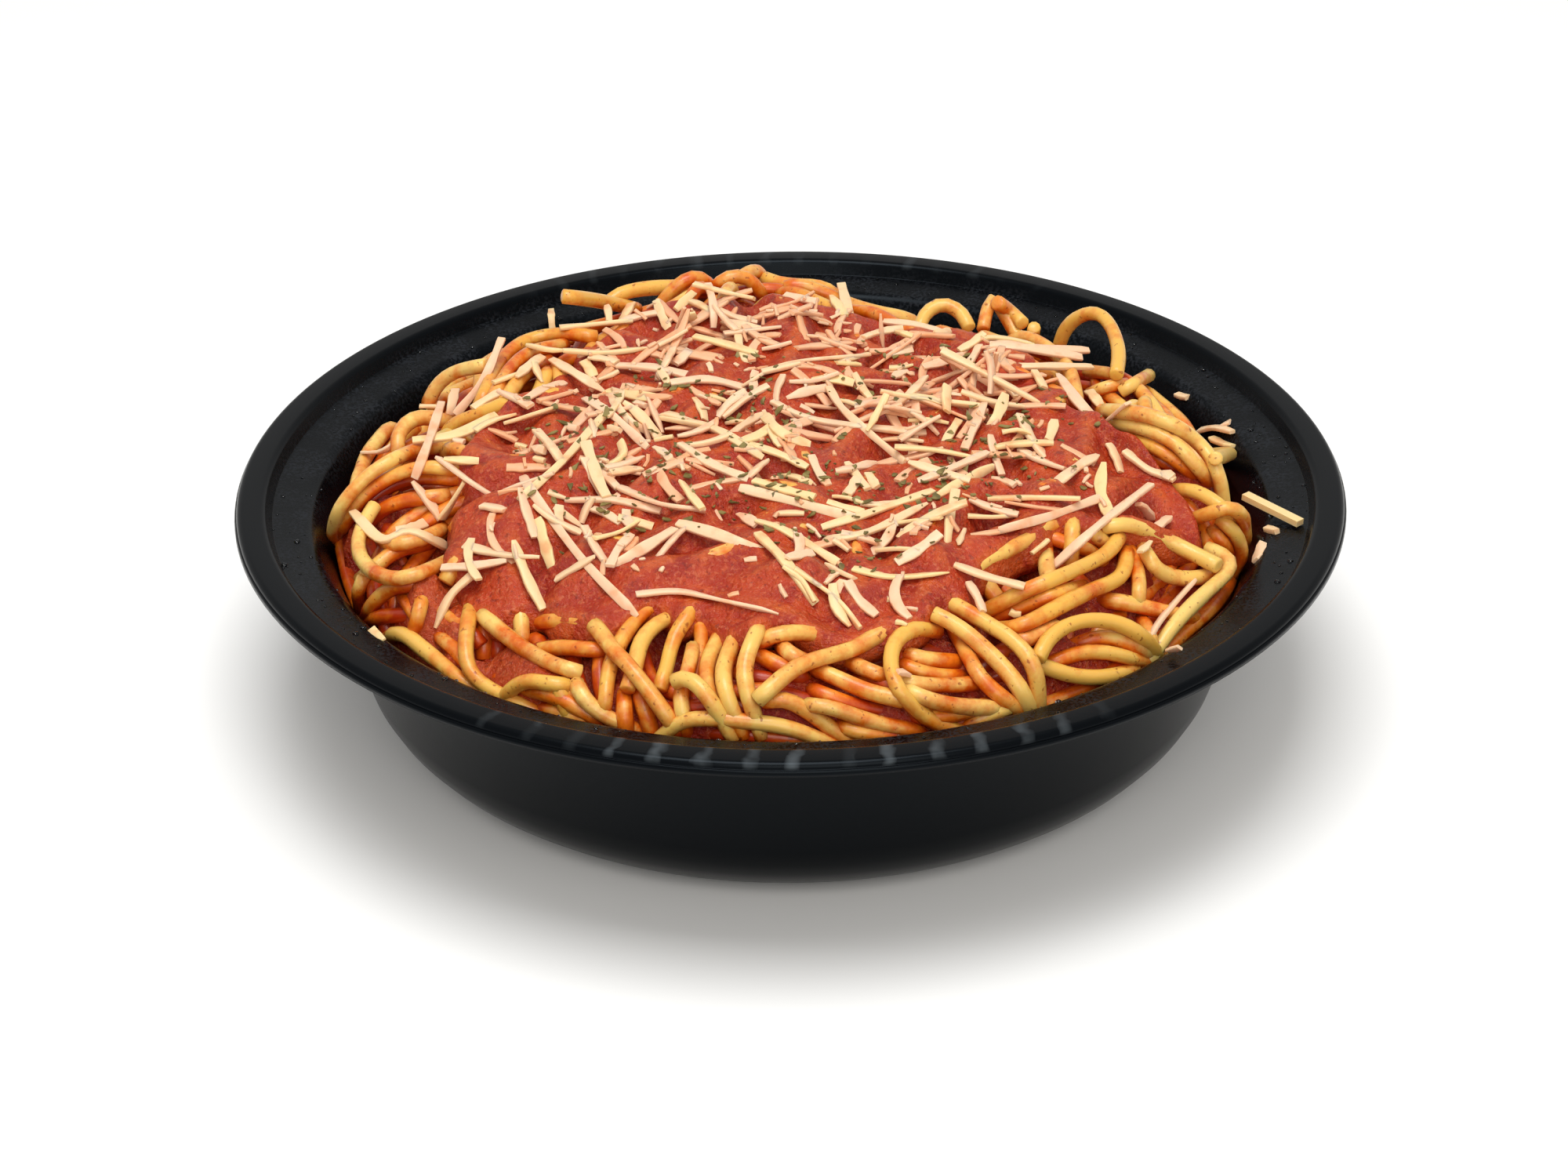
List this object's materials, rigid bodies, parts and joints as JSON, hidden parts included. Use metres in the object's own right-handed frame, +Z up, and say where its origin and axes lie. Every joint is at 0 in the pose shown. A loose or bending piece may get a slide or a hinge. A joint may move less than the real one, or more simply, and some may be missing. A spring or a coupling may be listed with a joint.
{
  "type": "bowl of spaghetti marinara",
  "caption": "Round black plastic takeaway bowl with a wide rim, filled with a heap of spaghetti under thick tomato sauce, cheese shreds and dried herb flakes.",
  "frame": {"origin": "Middle of the bowl's foot, on the surface it stands on.", "axes": "+Z up along the bowl's axis, +Y to the back of the bowl as pictured, +X to its right."},
  "size_m": [0.229, 0.229, 0.0653],
  "materials": {
    "black_plastic": "semi-gloss",
    "cooked_pasta": "oily cooked pasta, slightly translucent",
    "tomato_sauce": "wet, pulpy tomato sauce",
    "cheese": "dry shredded hard cheese"
  },
  "bodies": {
    "root": {"bowl": "black_plastic", "spaghetti": "cooked_pasta", "sauce": "tomato_sauce", "stray_cheese_shred": "cheese"}
  },
  "joints": []
}
